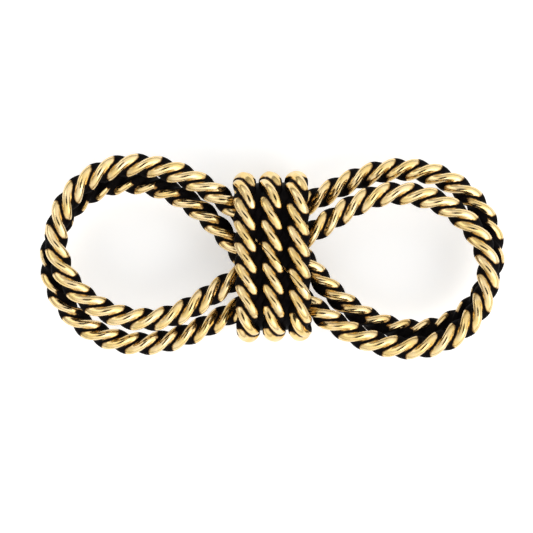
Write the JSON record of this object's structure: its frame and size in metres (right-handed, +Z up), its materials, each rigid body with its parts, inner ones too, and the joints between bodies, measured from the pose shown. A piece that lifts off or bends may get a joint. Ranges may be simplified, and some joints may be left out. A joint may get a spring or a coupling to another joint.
{
  "type": "disentanglement puzzle",
  "caption": "Two-piece cast metal disentanglement puzzle: interlocked rope-pattern figure eights whose half wraps close round the waist and slide apart.",
  "frame": {"origin": "centre of the footprint, on the surface that the puzzle lies on", "axes": "+X along the figure eight, +Y the way the upper casting slides off, +Z up, away from the surface"},
  "size_m": [0.0898, 0.0394, 0.0191],
  "materials": {
    "antique_gold": "polished antique gold plate over a cast body, darkened in the grooves",
    "black_patina": "dark patina between the wraps"
  },
  "bodies": {
    "lower_casting": {"lower_left_loop": "antique_gold", "lower_right_loop": "antique_gold", "lower_rising_strand": "antique_gold", "lower_falling_strand": "antique_gold", "lower_left_wrap": "antique_gold", "lower_middle_wrap": "antique_gold", "lower_right_wrap": "antique_gold", "lower_yoke": "black_patina"},
    "upper_casting": {"upper_left_loop": "antique_gold", "upper_right_loop": "antique_gold", "upper_rising_strand": "antique_gold", "upper_falling_strand": "antique_gold", "upper_left_wrap": "antique_gold", "upper_middle_wrap": "antique_gold", "upper_right_wrap": "antique_gold", "upper_yoke": "black_patina"}
  },
  "joints": [
    {"name": "castings_slide", "type": "slide", "parent": "lower_casting", "child": "upper_casting", "axis": [0, 1, 0], "range_m": [0, 0.04]}
  ]
}
